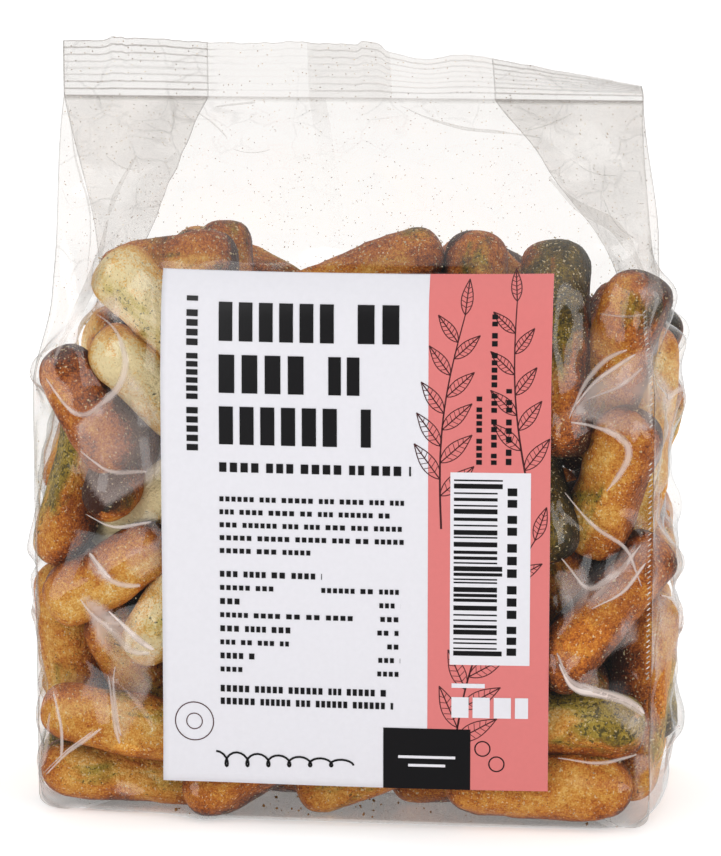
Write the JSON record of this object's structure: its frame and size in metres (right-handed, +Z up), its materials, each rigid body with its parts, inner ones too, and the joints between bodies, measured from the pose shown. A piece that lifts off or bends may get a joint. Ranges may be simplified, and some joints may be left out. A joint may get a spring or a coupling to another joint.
{
  "type": "clear sealed bag of short stubby grissini breadsticks",
  "caption": "Clear block-bottom bag with side folds and a ribbed top seal, filled with short stubby breadsticks, with a rectangular label on its front.",
  "frame": {"origin": "centre of the bounding box at the height of the flat bottom the bag stands on", "axes": "+Z up from the flat bottom to the top seal, -Y out of the front with the label, +X to the right of the label"},
  "size_m": [0.1344, 0.0672, 0.1567],
  "materials": {
    "bag_film_and_sticks": "clear glossy film over golden brown baked dough",
    "label_paper": "smooth white coated paper with printed fields"
  },
  "bodies": {
    "root": {"bag": "bag_film_and_sticks", "label": "label_paper"}
  },
  "joints": []
}
